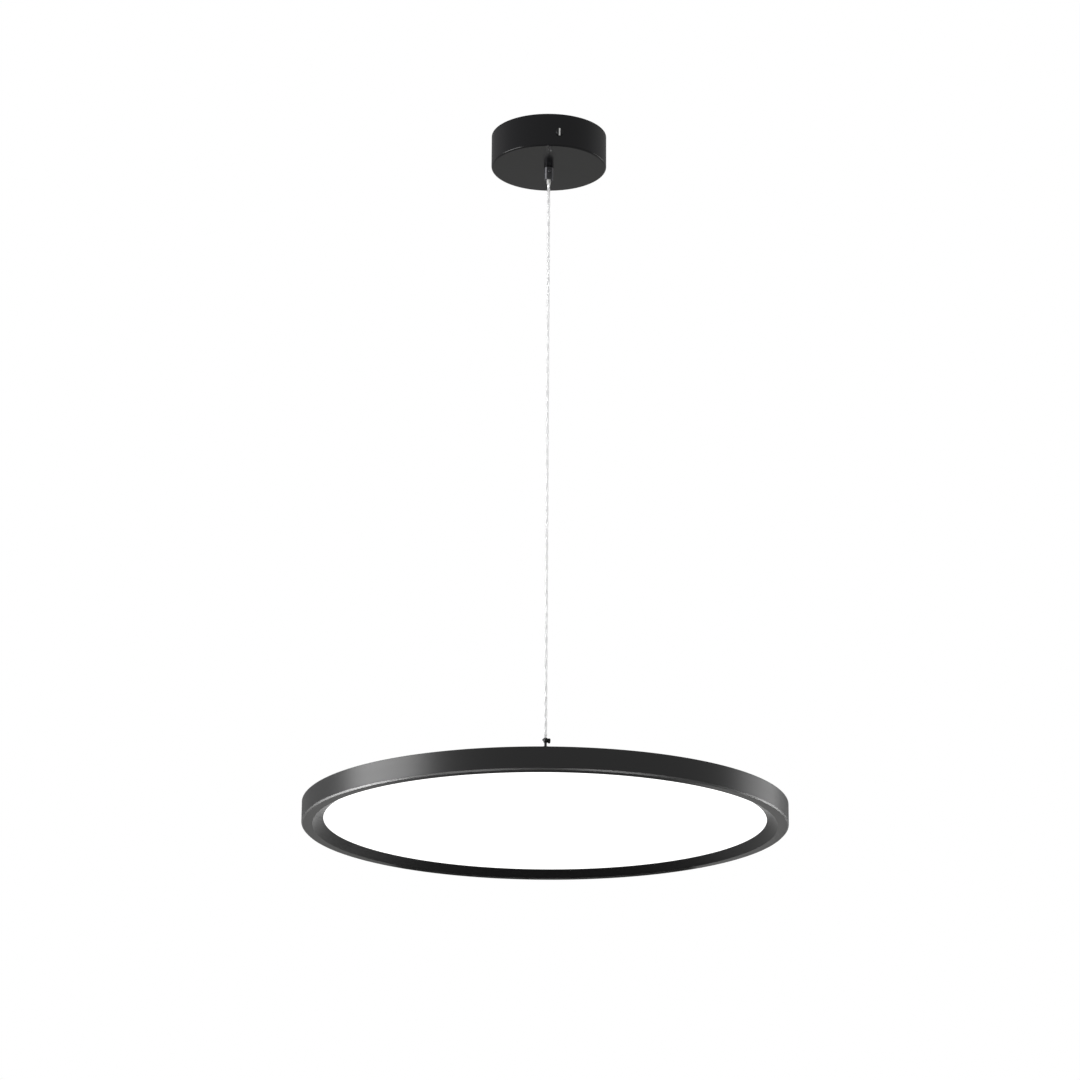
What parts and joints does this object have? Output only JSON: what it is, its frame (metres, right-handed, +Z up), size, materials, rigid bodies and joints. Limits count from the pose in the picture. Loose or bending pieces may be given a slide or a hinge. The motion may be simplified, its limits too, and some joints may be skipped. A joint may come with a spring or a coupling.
{
  "type": "disc pendant light",
  "caption": "Flat round edge-lit pendant lamp: black ring frame, recessed opal diffuser, one clear cord and a round ceiling canopy; it swings, turns and adjusts in height.",
  "frame": {"origin": "centre of the mains hole in the ceiling plate, at the ceiling plane", "axes": "+Z up into the ceiling, along the cord; the two ceiling slots and the two canopy screws lie along Y"},
  "size_m": [0.4999, 0.5, 0.772],
  "materials": {
    "black_powder_coat": "satin",
    "black_anodised": "satin",
    "black_screw": "satin",
    "zinc_steel": "satin",
    "mill_aluminium": "satin",
    "tinned_copper": "satin",
    "clear_pvc": "gloss",
    "supply_insulation": "satin",
    "earth_insulation": "satin",
    "lead_insulation": "satin",
    "driver_case": "matte",
    "terminal_nylon": "satin",
    "opal_acrylic": "satin",
    "clear_acrylic": "gloss",
    "reflector_film": "matte",
    "foam": "matte",
    "strip_circuit": "satin",
    "phosphor": "satin"
  },
  "bodies": {
    "canopy": {"ceiling_plate": "zinc_steel", "canopy_cover": "black_powder_coat", "canopy_side_screws": "black_screw", "cord_grip": "black_powder_coat", "grip_set_screw": "black_powder_coat", "grip_washer": "zinc_steel", "grip_nut": "zinc_steel", "cord_tail": "clear_pvc", "led_driver": "driver_case", "driver_screws": "zinc_steel", "terminal_block": "terminal_nylon", "terminal_screws": "zinc_steel", "terminal_block_screws": "zinc_steel", "supply_leads": "supply_insulation", "earth_lead": "earth_insulation", "earth_tag": "tinned_copper", "earth_screw": "zinc_steel"},
    "sleeve": {"cord_sleeve": "clear_pvc", "cord_neck": "clear_pvc"},
    "cord": {"pendant_cord": "clear_pvc"},
    "clamp": {"cord_clamp": "black_powder_coat", "clamp_screw": "black_powder_coat", "swivel_ring": "black_powder_coat"},
    "lamp": {"stem_tube": "black_powder_coat", "stem_washer": "black_screw", "stem_nut": "black_screw", "hub_plate": "mill_aluminium", "hub_screws": "black_screw", "back_plate": "black_anodised", "back_plate_screws": "black_screw", "frame_ring": "black_anodised", "diffuser": "opal_acrylic", "light_guide": "clear_acrylic", "reflector_sheet": "reflector_film", "foam_pad": "foam", "led_strip": "strip_circuit", "led_chips": "phosphor", "strip_connector": "terminal_nylon", "lamp_lead": "lead_insulation"}
  },
  "joints": [
    {"name": "swing_fore_aft", "type": "hinge", "parent": "canopy", "child": "sleeve", "pos_m": [0, 0, -0.048], "axis": [1, 0, 0], "range_deg": [-20, 20]},
    {"name": "swing_side", "type": "hinge", "parent": "sleeve", "child": "cord", "pos_m": [0, 0, -0.057], "axis": [0, 1, 0], "range_deg": [-20, 20]},
    {"name": "height_adjust", "type": "slide", "parent": "cord", "child": "clamp", "axis": [0, 0, 1], "range_m": [0, 0.4], "deforming": ["pendant_cord"]},
    {"name": "disc_turn", "type": "hinge", "parent": "clamp", "child": "lamp", "pos_m": [0, 0, -0.6901], "axis": [0, 0, 1], "range_deg": [-180, 180]}
  ]
}
